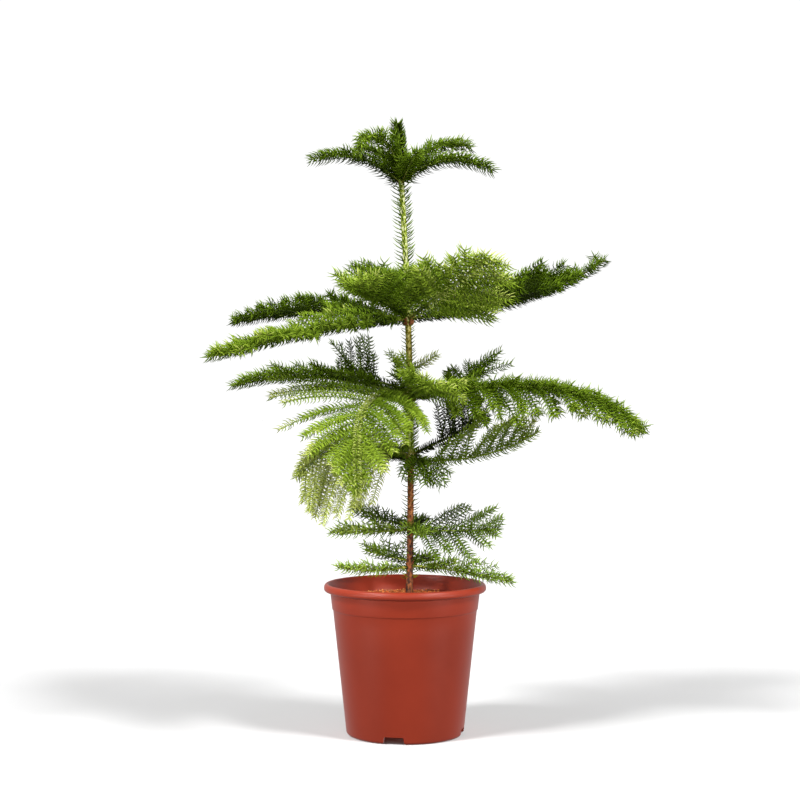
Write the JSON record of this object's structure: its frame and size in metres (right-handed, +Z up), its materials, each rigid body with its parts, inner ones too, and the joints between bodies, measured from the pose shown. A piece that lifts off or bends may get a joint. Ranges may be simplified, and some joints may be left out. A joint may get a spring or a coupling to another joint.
{
  "type": "potted norfolk island pine",
  "caption": "Young Norfolk Island pine with whorled, drooping needled boughs on a slim leaning trunk, growing in a round tapered nursery pot.",
  "frame": {"origin": "centre of the pot's flat underside, on the face of its middle foot", "axes": "+Z up along the pot's axis, -Y towards the front from which the plant was seen, +X to its right"},
  "size_m": [0.5515, 0.3711, 0.793],
  "materials": {
    "pot": "satin moulded plastic",
    "soil": "loose fibrous potting mix",
    "trunk_bark": "flecked young bark",
    "bough_bark": "thin green-brown bark",
    "needles": "soft waxy needles"
  },
  "bodies": {
    "root": {"pot": "pot", "soil": "soil", "trunk": "trunk_bark", "foliage_1a": "needles", "foliage_1b": "needles", "foliage_1c": "needles", "foliage_1d": "needles", "foliage_1e": "needles", "foliage_1f": "needles", "bough_2a": "bough_bark", "foliage_2a": "needles", "bough_2b": "bough_bark", "foliage_2b": "needles", "bough_2c": "bough_bark", "foliage_2c": "needles", "bough_2d": "bough_bark", "foliage_2d": "needles", "bough_2e": "bough_bark", "foliage_2e": "needles", "bough_2f": "bough_bark", "foliage_2f": "needles", "bough_3a": "bough_bark", "foliage_3a": "needles", "bough_3b": "bough_bark", "foliage_3b": "needles", "bough_3c": "bough_bark", "foliage_3c": "needles", "bough_3d": "bough_bark", "foliage_3d": "needles", "bough_3e": "bough_bark", "foliage_3e": "needles", "bough_3f": "bough_bark", "foliage_3f": "needles", "bough_4a": "bough_bark", "foliage_4a": "needles", "bough_4b": "bough_bark", "foliage_4b": "needles", "bough_4c": "bough_bark", "foliage_4c": "needles", "bough_4d": "bough_bark", "foliage_4d": "needles", "bough_4e": "bough_bark", "foliage_4e": "needles", "foliage_5a": "needles", "foliage_5b": "needles", "foliage_5c": "needles", "foliage_5d": "needles", "foliage_5e": "needles", "foliage_6a": "needles", "foliage_6b": "needles", "foliage_6c": "needles", "foliage_6d": "needles"}
  },
  "joints": []
}
